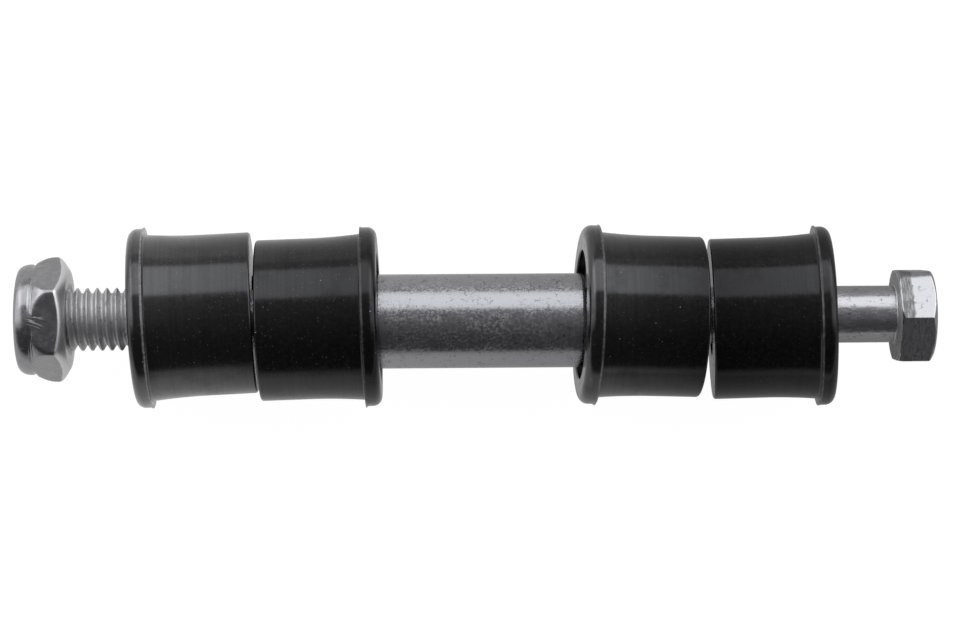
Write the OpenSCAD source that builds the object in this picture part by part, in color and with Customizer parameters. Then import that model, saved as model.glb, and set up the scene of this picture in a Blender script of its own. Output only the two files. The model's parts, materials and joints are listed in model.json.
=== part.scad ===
// Bolt-type stabilizer link, lying along X with its bolt head towards +X.
// A long hexagon bolt carries a spacer sleeve between two pairs of flanged rubber half bushes.
// Each pair fills the eye of one lever, and a locking nut closes the stack.
// The loose bushes lean a little on the bolt until the nut is drawn up.
// Millimetres; the origin is on the bolt axis at the middle of the overall length.

/* [Bolt] */
// Outside diameter of the thread
thread_d = 9.8; // [9.2:0.1:11]
// Height of the rolled thread above the plain shank
thread_h = 0.475; // [0.3:0.025:0.65]
// Length of the threaded end
thread_len = 26; // [20:0.5:30]
// Cone length from the thread down to the shank
runout_len = 1.5; // [0.5:0.1:3]
// Chamfer on the end of the thread
end_chamfer = 1.1; // [0.3:0.1:2]
// Width of the head across its flats
head_af = 13.85; // [12:0.05:17]
// Height of the head
head_h = 5.65; // [4:0.05:8]
// Height of the cone that bevels the head's corners
head_bevel = 0.8; // [0.2:0.05:1]
// Height of the bevel on the head's corners at the bearing side
head_under_bevel = 0.5; // [0.1:0.05:0.6]
// Height of the round bearing pad under the head
head_pad_h = 0.25; // [0.1:0.05:0.5]
// Radius where the shank meets the head
head_fillet = 0.4; // [0.1:0.05:0.5]
// Turn of the head about the bolt axis
head_turn = 3.5; // [-30:0.5:30]
// Free length left between the head and the nearest bush
head_room = 9.9; // [9:0.05:20]

/* [Locking nut] */
// Wall between the nut's thread hole and its flats
nut_wall = 3.55; // [3.4:0.05:4.5]
// Depth by which the nut's corners are rolled off
corner_ease = 0.08; // [0.05:0.01:0.15]
// Height of the plain corners above the bearing bevel
nut_corner_h = 0.8; // [0.5:0.1:1.5]
// Height of the rounded shoulder between the corners and the collar
nut_shoulder_h = 2.9; // [2:0.1:3.2]
// Step from the top of the shoulder in to the collar
shoulder_step = 0.3; // [0.1:0.05:0.5]
// Height of the bevel on the bearing side
nut_bevel = 1.2; // [0.8:0.05:1.4]
// Depth of the countersink at the mouth of the thread hole
countersink = 0.75; // [0.3:0.05:1]
// Wall of the collar round the locking ring
collar_wall = 1.5; // [1.2:0.05:1.7]
// Height of the collar above the groove
collar_h = 2.4; // [2.4:0.1:3.5]
// Radius of the rolled edge of the collar
collar_round = 1.2; // [0.8:0.1:2]
// Half the width of the shallow groove under the collar
neck_half = 0.45; // [0.3:0.05:0.6]
// Depth of the groove
neck_depth = 0.15; // [0.05:0.01:0.25]
// Lip that is rolled over the locking ring
lip_t = 0.8; // [0.4:0.1:1.2]
// Clear gap all round the thread in the nut and its ring
thread_gap = 0.05; // [0.02:0.01:0.1]
// Turn of the nut about the bolt axis
nut_turn = 3.2; // [-30:0.1:30]
// How far the collar stands past the end of the bolt
nut_overhang = 0.5; // [0.05:0.05:2]
// Free length left between the nut and the nearest bush
nut_room = 9.75; // [9:0.05:20]

/* [Locking ring] */
// Wall of the locking ring round the thread
ring_wall = 2.05; // [1.5:0.05:2.3]
// Height of the locking ring
ring_h = 2.2; // [1.5:0.1:2.5]
// Clear gap round the locking ring in its collar
ring_gap = 0.05; // [0.02:0.01:0.1]

/* [Spacer sleeve] */
// Wall of the sleeve
sleeve_wall = 2.05; // [1.5:0.05:2.5]
// Clear gap all round the thread in the sleeve's bore
sleeve_gap = 0.35; // [0.2:0.05:0.7]
// Length of the sleeve
sleeve_len = 32.3; // [25:0.1:40]
// Bevel on the sleeve's outer edges
sleeve_bevel = 0.35; // [0.1:0.05:0.8]
// Gap that is left on the side where the loose sleeve comes closest to the shank
sleeve_near_gap = 0.185; // [0.1:0.005:0.3]
// Reach of each sleeve end into its bush recess
sleeve_reach = 0.6; // [0.3:0.05:0.7]

/* [Rubber bushes] */
// Width of the flange's rim outside the body
flange_rim = 1.4; // [1.2:0.05:3]
// Thickness of the flange
flange_t = 2.5; // [2:0.05:5]
// Radius on the flange's outer edge
flange_round = 1.4; // [0.4:0.1:1.7]
// Height of the moulding flash on the flange's inner edge
flash_h = 0.25; // [0.05:0.01:0.3]
// Thickness of the moulding flash
flash_t = 0.3; // [0.1:0.05:0.5]
// Diameter of the body that fills the lever's eye
body_d = 24.9; // [23.5:0.1:30]
// Growth of the body's diameter towards the flange
flare = 0.8; // [0.2:0.1:1.2]
// Length over which the body flares
flare_len = 8.5; // [4:0.1:12]
// Length of a bush from flange face to free end
bush_len = 18.65; // [17:0.05:24]
// Radius on the edge of the free end
free_round = 0.4; // [0.2:0.1:1.2]
// Clear gap all round the thread in a bush's bore
bush_gap = 0.75; // [0.7:0.05:1.1]
// Radius on the mouth of the flange recess
recess_round = 0.25; // [0.05:0.05:0.8]
// Gap between the free ends of a pair on the side where they lean together
free_gap = 0.3; // [0.3:0.02:2]

/* [Thrust washers] */
// Outside diameter of a washer
washer_d = 19.8; // [18:0.1:20.6]
// Clear gap all round the thread in a washer's hole
washer_hole_gap = 0.4; // [0.35:0.05:0.7]
// Thickness of a washer
washer_t = 2; // [1.5:0.1:3]
// Depth of a washer's face below the flange face
washer_sink = 1.4; // [1.35:0.05:2]
// Clear gap round a washer in its recess
washer_gap = 0.1; // [0.05:0.01:0.2]
// Clear gap behind a washer
washer_seat = 0.05; // [0.02:0.01:0.1]

/* [Loose lie of the bushes, from the nut end] */
// Share of the bore's play that each free end takes up to the side
free_side = [0.72, -0.314, -0.222, -0.5]; // [-0.72:0.001:0.72]
// Share of the bore's play that each flanged end takes up to the side
flange_side = [0.015, 0.151, 0.222, -0.127]; // [-0.25:0.001:0.25]
// Share of the bore's play by which each free end drops and its flanged end rises
free_drop = [0.119, 0.106, 0.33, 0.438]; // [0:0.001:0.45]

/* [Hidden] */
$fn = 96;
cut = 0.5;

// Radial depth of a corner bevel for each millimetre of its height
bevel_slope = tan(60);
head_corner_r = head_af / 2 / cos(30);
thread_r = thread_d / 2;
shank_r = thread_r - thread_h;
hole_r = thread_r + thread_gap;
ring_r = hole_r + ring_wall;
collar_r = ring_r + ring_gap + collar_wall;
nut_corner_r = (hole_r + nut_wall) / cos(30);
nut_rim_r = nut_corner_r - corner_ease;
collar_base = nut_bevel + nut_corner_h + nut_shoulder_h;
nut_h = collar_base + neck_half + collar_h;
neck_arc_r = (neck_half ^ 2 + neck_depth ^ 2) / (2 * neck_depth);
ring_base = nut_h - lip_t - ring_h - ring_gap;

sleeve_bore_r = thread_r + sleeve_gap;
sleeve_r = sleeve_bore_r + sleeve_wall;
sleeve_drop = sleeve_bore_r - shank_r - sleeve_near_gap;

PLACES = [0:3];
// Way from the flange to the free end of each bush, along the bolt
to_free = [1, -1, 1, -1];
bush_bore_r = thread_r + bush_gap;
play = bush_bore_r - shank_r;
lean = [for (i = PLACES) asin(to_free[i] * play * (free_side[i] - flange_side[i]) / bush_len)];
droop = [for (i = PLACES) asin(to_free[i] * play * 2 * free_drop[i] / bush_len)];
shift = [for (i = PLACES) play * (free_side[i] + flange_side[i]) / 2];

body_r = body_d / 2;
nut_pair_gap = pair_gap(0, 1);
head_pair_gap = pair_gap(2, 3);
stack_len = 4 * bush_len + nut_pair_gap + head_pair_gap + sleeve_len - 2 * sleeve_reach;
bolt_len = head_room + stack_len + nut_room + nut_h - nut_overhang;
overall_len = head_h + bolt_len + nut_overhang;
head_face_x = overall_len / 2 - head_h;
nut_face_x = nut_h - overall_len / 2;

// Middles of the four bushes and of the sleeve along the bolt, from the nut end
inner_half = sleeve_len / 2 - sleeve_reach + bush_len / 2;
first_mid = nut_face_x + nut_room + bush_len / 2;
sleeve_x = first_mid + bush_len + nut_pair_gap + inner_half;
mid_x = [first_mid, sleeve_x - inner_half, sleeve_x + inner_half,
         sleeve_x + inner_half + bush_len + head_pair_gap];

flange_r = body_r + flange_rim;
recess_r = washer_d / 2 + washer_gap;
recess_depth = washer_sink + washer_t + washer_seat;
// Radius of the hollow arc that carries the body out to its flare
flare_arc_r = (flare_len ^ 2 + (flare / 2) ^ 2) / flare;

steel = "silver";
zinc = "gainsboro";
nylon = "ivory";
rubber = [0.08, 0.08, 0.085];
dark_steel = "dimgray";

// Gap along the bolt that two leaning free ends need so that their edges never meet
function pair_gap(a, b) = free_gap + body_r * tan(norm([lean[a] - lean[b], droop[a] - droop[b]]));

// Turns a solid made along Z so that it runs along X, from the given place
module along_x(x = 0) {
  translate([x, 0, 0]) rotate([0, 90, 0]) children();
}

// Hexagon prism along Z, with a corner towards +x
module hexagon(corner_r, height) {
  cylinder(r = corner_r, h = height, $fn = 6);
}

// Outline that a convex round of radius r takes off a corner at the origin, with the material at -x, +y
module round_off(r) {
  difference() {
    translate([-r, -cut]) square([r + cut, r + cut]);
    translate([-r, r]) circle(r);
  }
}

// Places what is drawn round the middle of a bush at its lean on the bolt
module on_bolt(place) {
  translate([mid_x[place], shift[place], 0]) rotate([0, droop[place], lean[place]]) children();
}

// Turns a bush about where its flange faces the head
module facing(place) {
  mirror([to_free[place] < 0 ? 1 : 0, 0, 0]) children();
}

// Half outline of the bolt: radius across, distance from under the head up towards the thread's end
module bolt_outline() {
  polygon([[0, -head_pad_h], [shank_r, -head_pad_h], [shank_r, bolt_len - thread_len - runout_len],
           [thread_r, bolt_len - thread_len], [thread_r, bolt_len - end_chamfer],
           [thread_r - end_chamfer, bolt_len], [0, bolt_len]]);
  difference() {
    translate([0, -head_pad_h]) square([shank_r + head_fillet, head_pad_h + head_fillet]);
    translate([shank_r + head_fillet, head_fillet]) circle(head_fillet);
  }
}

// Half outline of the turned envelope that bevels the head's corners, from its bearing face up
module head_envelope() {
  polygon([[0, 0], [head_corner_r - head_under_bevel * bevel_slope, 0],
           [head_corner_r, head_under_bevel], [head_corner_r, head_h - head_bevel],
           [head_corner_r - head_bevel * bevel_slope, head_h], [0, head_h]]);
}

module bolt() {
  color(steel) {
    along_x(head_face_x) rotate(head_turn) intersection() {
      translate([0, 0, head_pad_h]) hexagon(head_corner_r, head_h - head_pad_h);
      rotate_extrude() head_envelope();
    }
    along_x(head_face_x) cylinder(d = head_af - 2 * head_pad_h, h = head_pad_h);
    translate([head_face_x, 0, 0]) rotate([0, -90, 0]) rotate_extrude() bolt_outline();
  }
}

// Half outline of the turned envelope of the nut's hexagon, from its bearing face up
module nut_envelope() {
  corner_top = nut_bevel + nut_corner_h;
  rise = nut_rim_r - collar_r - shoulder_step;
  shoulder_r = (nut_shoulder_h ^ 2 + rise ^ 2) / (2 * rise);
  polygon([[0, 0], [nut_rim_r - nut_bevel * bevel_slope, 0], [nut_rim_r, nut_bevel],
           [nut_rim_r, corner_top], [0, corner_top]]);
  intersection() {
    translate([0, corner_top]) square([nut_rim_r, nut_shoulder_h]);
    translate([nut_rim_r - shoulder_r, corner_top]) circle(shoulder_r, $fn = 180);
  }
}

// Half outline of the round collar with the groove under it and its rolled edge
module collar_outline() {
  difference() {
    translate([0, nut_bevel]) square([collar_r, nut_h - nut_bevel]);
    translate([collar_r - neck_depth, nut_bevel])
      square([neck_depth + cut, collar_base - nut_bevel + neck_half]);
    translate([collar_r - neck_depth + neck_arc_r, collar_base + neck_half]) circle(neck_arc_r);
    translate([collar_r, nut_h]) mirror([0, 1]) round_off(collar_round);
  }
}

// Hollow of the nut: thread hole, room for the locking ring and the mouth of the rolled lip
module nut_hollow() {
  mouth_r = (ring_r + hole_r) / 2;
  translate([0, 0, -cut]) cylinder(r = hole_r, h = nut_h + 2 * cut);
  translate([0, 0, ring_base - ring_gap]) cylinder(r = ring_r + ring_gap, h = ring_h + 2 * ring_gap);
  translate([0, 0, ring_base]) cylinder(r = mouth_r, h = nut_h);
  cylinder(r1 = hole_r + countersink, r2 = hole_r, h = countersink);
}

module locking_nut() {
  color(zinc) translate([nut_face_x, 0, 0]) rotate([0, -90, 0]) difference() {
    union() {
      intersection() {
        rotate(30 - nut_turn) hexagon(nut_corner_r, collar_base);
        rotate_extrude() nut_envelope();
      }
      rotate_extrude() collar_outline();
    }
    nut_hollow();
  }
}

module locking_ring() {
  color(nylon) translate([nut_face_x - ring_base, 0, 0]) rotate([0, -90, 0]) difference() {
    cylinder(r = ring_r, h = ring_h);
    translate([0, 0, -cut]) cylinder(r = hole_r, h = ring_h + 2 * cut);
  }
}

module spacer_sleeve() {
  color(steel) translate([0, -sleeve_drop, 0]) along_x(sleeve_x) rotate_extrude() difference() {
    translate([sleeve_bore_r, -sleeve_len / 2]) square([sleeve_wall, sleeve_len]);
    for (side = [0, 1])
      mirror([0, side]) translate([sleeve_r, -sleeve_len / 2]) rotate(45)
        square(sleeve_bevel * sqrt(2), center = true);
  }
}

// Half outline of a bush: radius across, distance from the flange face up to the free end
module bush_outline() {
  difference() {
    union() {
      square([flange_r, flange_t]);
      translate([0, flange_t - flash_t]) square([flange_r + flash_h, flash_t]);
      square([body_r, bush_len]);
      difference() {
        square([body_r + flare / 2, flange_t + flare_len]);
        translate([body_r + flare_arc_r, flange_t + flare_len]) circle(flare_arc_r, $fn = 720);
      }
    }
    translate([flange_r, 0]) round_off(flange_round);
    translate([body_r, bush_len]) mirror([0, 1]) round_off(free_round);
    translate([0, -cut]) square([bush_bore_r, bush_len + 2 * cut]);
    translate([0, -cut]) square([recess_r, recess_depth + cut]);
    translate([recess_r, 0]) mirror([1, 0]) round_off(recess_round);
  }
}

// One bush in its place on the bolt
module bush(place) {
  color(rubber) on_bolt(place) facing(place) along_x(-bush_len / 2) rotate_extrude() bush_outline();
}

// One washer on the floor of its bush's recess
module thrust_washer(place) {
  color(dark_steel) on_bolt(place) facing(place) along_x(washer_sink - bush_len / 2) difference() {
    cylinder(d = washer_d, h = washer_t);
    translate([0, 0, -cut]) cylinder(r = thread_r + washer_hole_gap, h = washer_t + 2 * cut);
  }
}

module nut_end_outer_bush() { bush(0); }
module nut_end_inner_bush() { bush(1); }
module head_end_inner_bush() { bush(2); }
module head_end_outer_bush() { bush(3); }
module nut_end_outer_washer() { thrust_washer(0); }
module nut_end_inner_washer() { thrust_washer(1); }
module head_end_inner_washer() { thrust_washer(2); }
module head_end_outer_washer() { thrust_washer(3); }

bolt();
locking_nut();
locking_ring();
spacer_sleeve();
nut_end_outer_bush();
nut_end_inner_bush();
head_end_inner_bush();
head_end_outer_bush();
nut_end_outer_washer();
nut_end_inner_washer();
head_end_inner_washer();
head_end_outer_washer();
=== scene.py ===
"""Looks of the bolt-type stabilizer link: its threaded bolt, locking nut, sleeve and rubber bushes.

Every new piece is a grid of points worked out with numpy: a half outline, given as distance along an axis
and radius, carried round that axis.  Lengths in the classes are millimetres; the meshes are in metres.
"""
import json
import logging
from dataclasses import dataclass
from enum import Enum
from typing import Any, Sequence

import bpy
import numpy as np
from mathutils import Matrix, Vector
from numpy.typing import NDArray


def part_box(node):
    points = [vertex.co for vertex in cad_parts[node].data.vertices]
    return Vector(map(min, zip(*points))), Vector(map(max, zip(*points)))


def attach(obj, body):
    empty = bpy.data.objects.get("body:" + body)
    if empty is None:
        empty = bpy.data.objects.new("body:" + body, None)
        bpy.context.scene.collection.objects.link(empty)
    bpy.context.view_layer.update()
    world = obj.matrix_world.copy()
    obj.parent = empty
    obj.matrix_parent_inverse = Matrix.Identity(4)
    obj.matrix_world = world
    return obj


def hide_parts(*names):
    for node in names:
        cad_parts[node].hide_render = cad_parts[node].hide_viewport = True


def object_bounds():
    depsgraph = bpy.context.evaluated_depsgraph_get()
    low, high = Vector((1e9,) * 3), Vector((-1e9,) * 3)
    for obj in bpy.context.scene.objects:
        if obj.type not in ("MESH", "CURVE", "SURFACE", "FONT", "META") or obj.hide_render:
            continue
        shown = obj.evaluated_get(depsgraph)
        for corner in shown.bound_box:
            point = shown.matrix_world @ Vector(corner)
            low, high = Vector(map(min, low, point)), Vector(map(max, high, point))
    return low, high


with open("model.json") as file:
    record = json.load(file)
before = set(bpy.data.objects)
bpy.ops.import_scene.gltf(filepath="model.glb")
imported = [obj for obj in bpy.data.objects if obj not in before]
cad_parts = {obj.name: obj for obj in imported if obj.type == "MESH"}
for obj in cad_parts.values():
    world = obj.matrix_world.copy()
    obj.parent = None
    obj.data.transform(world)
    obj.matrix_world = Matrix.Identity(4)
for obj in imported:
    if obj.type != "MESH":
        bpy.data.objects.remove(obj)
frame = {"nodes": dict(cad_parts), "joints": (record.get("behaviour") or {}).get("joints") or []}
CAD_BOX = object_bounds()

Array = NDArray[np.float64]
Colour = tuple[float, float, float]
Socket = bpy.types.NodeSocket

LOG = logging.getLogger("stabilizer_link")
MM = 0.001
TAU = 2.0 * np.pi
# Fall of a bevel's radius for each millimetre of its height
STEEP = np.tan(np.pi / 3)
# Names of the pieces' attributes, and the offset of each bush's pattern from the one before it
LAY, TONE, LAY_STEP = "lay", "tone", (61.0, 23.0, 17.0)


class Place(Enum):
    """The four places of a bush on the bolt, with the place's number from the nut end."""

    NUT_END_OUTER = 0
    NUT_END_INNER = 1
    HEAD_END_INNER = 2
    HEAD_END_OUTER = 3

    @property
    def bush(self) -> str:
        """Name of the bush's node, which is also its body's."""
        return f"{self.name.lower()}_bush"

    @property
    def washer(self) -> str:
        """Name of the node of the washer in the bush's recess."""
        return f"{self.name.lower()}_washer"

    @property
    def flange_to_head(self) -> bool:
        """True where the bush's flange faces the bolt's head."""
        return self in (Place.NUT_END_INNER, Place.HEAD_END_OUTER)


# Shapes


def pair(along: Any, radius: Any) -> Array:
    """Distances along the axis and radii, brought to one shape, as (..., 2)."""
    return np.stack(np.broadcast_arrays(along, radius), -1)


def all_round(points: Array, angle: Array) -> Array:
    """The same points of a half outline at every angle, as (rows, columns, 2)."""
    return np.repeat(points[:, None], len(angle), 1)


def soften(corners: Array, reach: Sequence[float], steps: int = 5) -> Array:
    """Rounds the corners of a half outline.

    Each corner P becomes the quadratic curve (1-s)^2 A + 2 s (1-s) P + s^2 B, where A and B lie at its reach
    on the way to the corners before and after it, but not past a set share of that way.  A further point
    beyond A and B keeps the flat next to it flat.

    Args:
        corners: Corners as (count, columns, 2): distance along the axis and radius.
        reach: Distance of A and B from each corner; 0 keeps the corner sharp.
        steps: Points on each curve.

    Returns:
        The rounded outline as (rows, columns, 2), open at both ends.
    """
    most, beyond = 0.45, 0.08
    s = np.linspace(0.0, 1.0, steps)[:, None, None]
    rows = [corners[:1]]
    for i in range(1, len(corners) - 1):
        point = corners[i]
        if reach[i] == 0.0:
            rows.append(point[None])
            continue
        before, after = corners[i - 1] - point, corners[i + 1] - point
        gap_a, gap_b = (np.linalg.norm(v, axis=-1, keepdims=True) for v in (before, after))
        start = point + before / gap_a * np.minimum(reach[i], most * gap_a)
        end = point + after / gap_b * np.minimum(reach[i], most * gap_b)
        curve = (1 - s) ** 2 * start + 2 * s * (1 - s) * point + s ** 2 * end
        lead, tail = start + (start - point) * beyond, end + (end - point) * beyond
        rows += [lead[None], curve, tail[None]]
    return np.concatenate(rows + [corners[-1:]])


def arc(centre: tuple[float, float], radius: float, start: float, end: float, steps: int) -> Array:
    """Points (steps, 2) on a circle in the outline's plane: centre + radius (cos a, sin a), a in degrees."""
    a = np.radians(np.linspace(start, end, steps))
    return pair(centre[0] + radius * np.cos(a), centre[1] + radius * np.sin(a))


def ripple(angle: Array, orders: int, seed: int) -> Array:
    """A closed uneven line round a circle: the sum of sin(k angle + p_k) / sqrt(k), scaled to -1..1.

    Args:
        angle: Angles round the circle.
        orders: Highest number k of waves round it.
        seed: Seed of the phases p_k.

    Returns:
        The height at each angle.
    """
    k = np.arange(1, orders + 1)[:, None]
    phase = np.random.default_rng(seed).uniform(0.0, TAU, k.shape)
    waves = (np.sin(k * np.ravel(angle) + phase) / np.sqrt(k)).sum(0)
    return (waves / np.abs(waves).max()).reshape(angle.shape)


def soft_min(a: Array, b: Array, width: float) -> Array:
    """The smaller length, rounded where they cross: min(a, b) - max(w - |a - b|, 0)^2 / 4 w, w the width."""
    return np.minimum(a, b) - np.maximum(width - np.abs(a - b), 0.0) ** 2 / (4 * width)


@dataclass(frozen=True)
class Hexagon:
    """A hexagon with rounded corners, seen along the axis.

    Attributes:
        across_flats: Width across the flats.
        corner_round: Radius of the rounded corners.
        corner_at: Angle of one corner, in degrees from +Y towards +Z.
    """

    across_flats: float
    corner_round: float
    corner_at: float

    @property
    def corner_r(self) -> float:
        """Radius of the sharp corner that the bevels are measured from."""
        return self.across_flats / 2 / np.cos(np.pi / 6)

    def columns(self) -> Array:
        """Angles of the grid's columns: close together at the corners, wide on the flats.

        Returns:
            The angles in radians, once round from the first corner.
        """
        half = np.array([0.0, 0.3, 0.6, 0.9, 1.3, 2.0, 3.2, 5.0, 8.0, 12.0, 17.0, 23.0])
        sector = np.concatenate([half, [30.0], 60.0 - half[:0:-1]])
        return np.radians((self.corner_at + np.arange(6)[:, None] * 60.0 + sector).ravel())

    def radius(self, angle: Array) -> Array:
        """Distance of the outline from the axis.

        With d the angle from the nearest corner, a flat is at a / cos(30 - d), and the round of radius q
        about the point at D on the corner's line is at D cos d + sqrt(q^2 - D^2 sin^2 d).

        Args:
            angle: Angles round the axis.

        Returns:
            The radius at each angle.
        """
        apothem = self.across_flats / 2
        turn = np.pi / 3
        d = np.abs((angle - np.radians(self.corner_at) + turn / 2) % turn - turn / 2)
        reach = (apothem - self.corner_round) / np.cos(np.pi / 6)
        inside = np.maximum(self.corner_round ** 2 - (reach * np.sin(d)) ** 2, 0.0)
        rounded = reach * np.cos(d) + np.sqrt(inside)
        limit = np.pi / 6 - np.arctan((apothem - self.corner_round) * np.tan(np.pi / 6) / apothem)
        return np.where(d < limit, rounded, apothem / np.cos(np.pi / 6 - d))


@dataclass
class Turned:
    """A half outline carried round an axis, as a grid of points.

    Attributes:
        outline: Distance along the axis and radius as (rows, columns, 2).
        angle: Angle of each column.
        closed: True where the last row joins the first; otherwise both ends close in a pole on the axis.
        shift: Shift of each row along +Y.
    """

    outline: Array
    angle: Array
    closed: bool
    shift: float | Array = 0.0

    def points(self) -> Array:
        """The grid's points (x, r cos a + shift, r sin a), then the two poles where it has them.

        Returns:
            The points as (count, 3).
        """
        x, r = self.outline[..., 0], self.outline[..., 1]
        grid = np.stack([x, r * np.cos(self.angle) + self.shift, r * np.sin(self.angle)], -1)
        if self.closed:
            return grid.reshape(-1, 3)
        return np.concatenate([grid.reshape(-1, 3), grid[[0, -1]].mean(1)])

    def faces(self) -> tuple[Array, Array]:
        """Corner numbers of the faces, all pointing outwards.

        Returns:
            The quads as (count, 4) and the triangles round the poles as (count, 3).
        """
        rows, cols = self.outline.shape[:2]
        row = np.arange(rows if self.closed else rows - 1)[:, None]
        col = np.arange(cols)[None, :]
        after, beside = (row + 1) % rows, (col + 1) % cols
        corners = (row * cols + col, row * cols + beside, after * cols + beside, after * cols + col)
        quads = np.stack(np.broadcast_arrays(*corners), -1).reshape(-1, 4)
        if self.closed:
            return quads, np.empty((0, 3), int)
        rim, side = np.arange(cols), (np.arange(cols) + 1) % cols
        first = np.stack([np.full(cols, rows * cols), side, rim], -1)
        top = (rows - 1) * cols
        last = np.stack([np.full(cols, rows * cols + 1), top + rim, top + side], -1)
        return quads, np.concatenate([first, last])


def link(name: str, data: bpy.types.ID) -> bpy.types.Object:
    """Puts an object with this mesh, camera or lamp into the scene.

    Args:
        name: Name of the object.
        data: What it holds.

    Returns:
        The object, at the origin.
    """
    thing = bpy.data.objects.new(name, data)
    bpy.context.scene.collection.objects.link(thing)
    return thing


def make_piece(name: str, shape: Turned, lay: Sequence[float], sharp: float, place: Matrix | None = None,
               tone: Array | None = None) -> bpy.types.Object:
    """Makes a mesh object of a turned shape, at the origin and with its place in its mesh.

    Args:
        name: Name of the piece.
        shape: The shape in millimetres, about the X axis.
        lay: Offset of the piece's pattern, so that two pieces don't carry the same marks.
        sharp: Angle in degrees past which an edge stays sharp.
        place: Where the shape goes in the frame, in millimetres; None leaves it.
        tone: Weight of the second finish at each of the grid's points; None leaves it at 0.

    Returns:
        The object, with the points' own coordinates in its "lay" attribute and the weight in "tone".
    """
    points = shape.points()
    quads, triangles = shape.faces()
    mesh = bpy.data.meshes.new(name)
    mesh.vertices.add(len(points))
    placed = points if place is None else points @ np.array(place.to_3x3()).T + np.array(place.translation)
    mesh.vertices.foreach_set("co", (placed * MM).ravel())
    mesh.loops.add(quads.size + triangles.size)
    mesh.loops.foreach_set("vertex_index", np.concatenate([quads.ravel(), triangles.ravel()]))
    mesh.polygons.add(len(quads) + len(triangles))
    starts = np.concatenate([np.arange(len(quads)) * 4, quads.size + np.arange(len(triangles)) * 3])
    mesh.polygons.foreach_set("loop_start", starts)
    marks = (points + np.array(lay)).ravel()
    mesh.attributes.new(LAY, "FLOAT_VECTOR", "POINT").data.foreach_set("vector", marks)
    weight = np.zeros(len(points))
    if tone is not None:
        weight[:tone.size] = tone.ravel()
    mesh.attributes.new(TONE, "FLOAT", "POINT").data.foreach_set("value", weight)
    mesh.update(calc_edges=True)
    mesh.validate()
    mesh.shade_smooth()
    mesh.set_sharp_from_angle(angle=np.radians(sharp))
    return link(name, mesh)


# Finishes


class Graph:
    """Places nodes in a node tree and joins their sockets."""

    def __init__(self, tree: bpy.types.NodeTree) -> None:
        """Starts from an empty tree."""
        tree.nodes.clear()
        self.tree = tree

    def add(self, kind: str, inputs: dict[str | int, Any] | None = None, **settings: Any) -> bpy.types.Node:
        """Adds a node.

        Args:
            kind: Type of the node, without the leading "ShaderNode" unless it is a group's own node.
            inputs: Values of its inputs; a socket is joined, anything else is set.
            settings: Properties of the node.

        Returns:
            The node.
        """
        prefix = "" if kind.startswith("NodeGroup") else "ShaderNode"
        node = self.tree.nodes.new(prefix + kind)
        for key, value in settings.items():
            setattr(node, key, value)
        for key, value in (inputs or {}).items():
            if isinstance(value, Socket):
                self.tree.links.new(value, node.inputs[key])
            else:
                node.inputs[key].default_value = value
        return node

    def group(self, tree: bpy.types.NodeTree, place: Socket, **values: float) -> Socket:
        """Mask of a node group, placed on these coordinates with its own values."""
        return self.add("Group", {"Vector": place, **values}, node_tree=tree).outputs["Mask"]

    def math(self, operation: str, a: Any, b: Any = 0.0) -> Socket:
        """Result of a Math node on a and b."""
        return self.add("Math", {0: a, 1: b}, operation=operation).outputs[0]

    def times(self, a: Any, b: Any) -> Socket:
        """a times b."""
        return self.math("MULTIPLY", a, b)

    def mix(self, factor: Any, a: Any, b: Any) -> Socket:
        """Number between a and b."""
        return self.add("Mix", {0: factor, 2: a, 3: b}).outputs[0]

    def blend(self, factor: Any, a: Socket | Colour, b: Colour) -> Socket:
        """Colour between a and b."""
        first = a if isinstance(a, Socket) else rgba(a)
        return self.add("Mix", {0: factor, 6: first, 7: rgba(b)}, data_type="RGBA").outputs[2]

    def spread(self, value: Any, low: float, high: float, start: float = 0.0, end: float = 1.0) -> Socket:
        """value carried from start..end to low..high."""
        keys = {"Value": value, "From Min": start, "From Max": end, "To Min": low, "To Max": high}
        return self.add("MapRange", keys).outputs["Result"]


def new_group(name: str, floats: dict[str, float]) -> tuple[Graph, bpy.types.Node]:
    """Starts a node group that turns a place into a mask.

    Args:
        name: Name of the group.
        floats: Its number inputs with their first values, besides the input Vector.

    Returns:
        The group's graph and its input node.
    """
    tree = bpy.data.node_groups.new(name, "ShaderNodeTree")
    tree.interface.new_socket("Vector", in_out="INPUT", socket_type="NodeSocketVector")
    for key, value in floats.items():
        tree.interface.new_socket(key, in_out="INPUT", socket_type="NodeSocketFloat").default_value = value
    tree.interface.new_socket("Mask", in_out="OUTPUT", socket_type="NodeSocketFloat")
    graph = Graph(tree)
    return graph, graph.add("NodeGroupInput")


def mottle_group() -> bpy.types.NodeTree:
    """Uneven patches: a noise of the given scale, stretched along X, between a low and a high level.

    Returns:
        The node group.
    """
    graph, given = new_group("mottle", {"Scale": 1.0, "Stretch": 1.0, "Low": 0.4, "High": 0.6})
    shape = graph.add("CombineXYZ", {0: given.outputs["Stretch"], 1: 1.0, 2: 1.0})
    place = graph.add("VectorMath", {0: given.outputs["Vector"], 1: shape.outputs[0]}, operation="MULTIPLY")
    noise = graph.add("TexNoise", {"Vector": place.outputs[0], "Scale": given.outputs["Scale"],
                                   "Detail": 6.0, "Roughness": 0.62})
    level = graph.add("MapRange", {"Value": noise.outputs[0], "From Min": given.outputs["Low"],
                                   "From Max": given.outputs["High"]}, interpolation_type="SMOOTHSTEP")
    graph.add("NodeGroupOutput", {"Mask": level.outputs["Result"]})
    return graph.tree


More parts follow.
